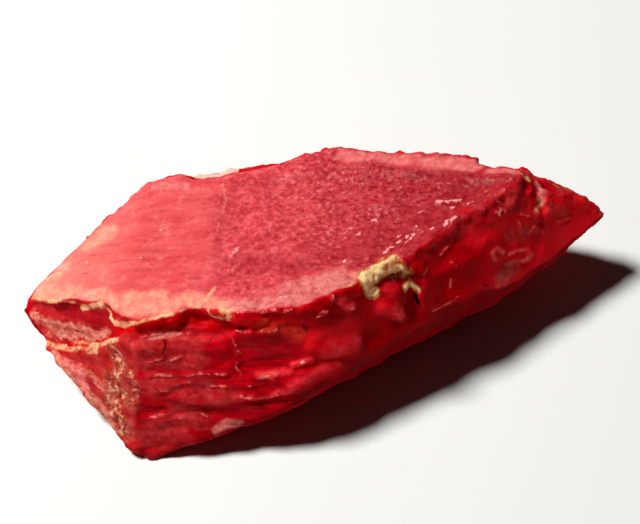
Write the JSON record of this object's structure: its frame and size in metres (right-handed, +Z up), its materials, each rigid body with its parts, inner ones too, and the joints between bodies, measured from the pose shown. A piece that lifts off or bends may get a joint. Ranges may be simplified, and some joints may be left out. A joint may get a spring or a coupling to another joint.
{
  "type": "rough rhodonite",
  "caption": "Uncut transparent red cleavage fragment, flat on top, with a stepped front and a pointed end, lying on its flat underside.",
  "frame": {"origin": "on the surface the stone lies on, under the middle of its bounding box", "axes": "+X along the striations towards the pointed tip, +Y away from the stepped front, +Z up from the flat underside"},
  "size_m": [0.0244, 0.0128, 0.0063],
  "materials": {
    "rhodonite": "translucent, glassy on the broken sides and sugary on the top"
  },
  "bodies": {
    "root": {"rhodonite": "rhodonite"}
  },
  "joints": []
}
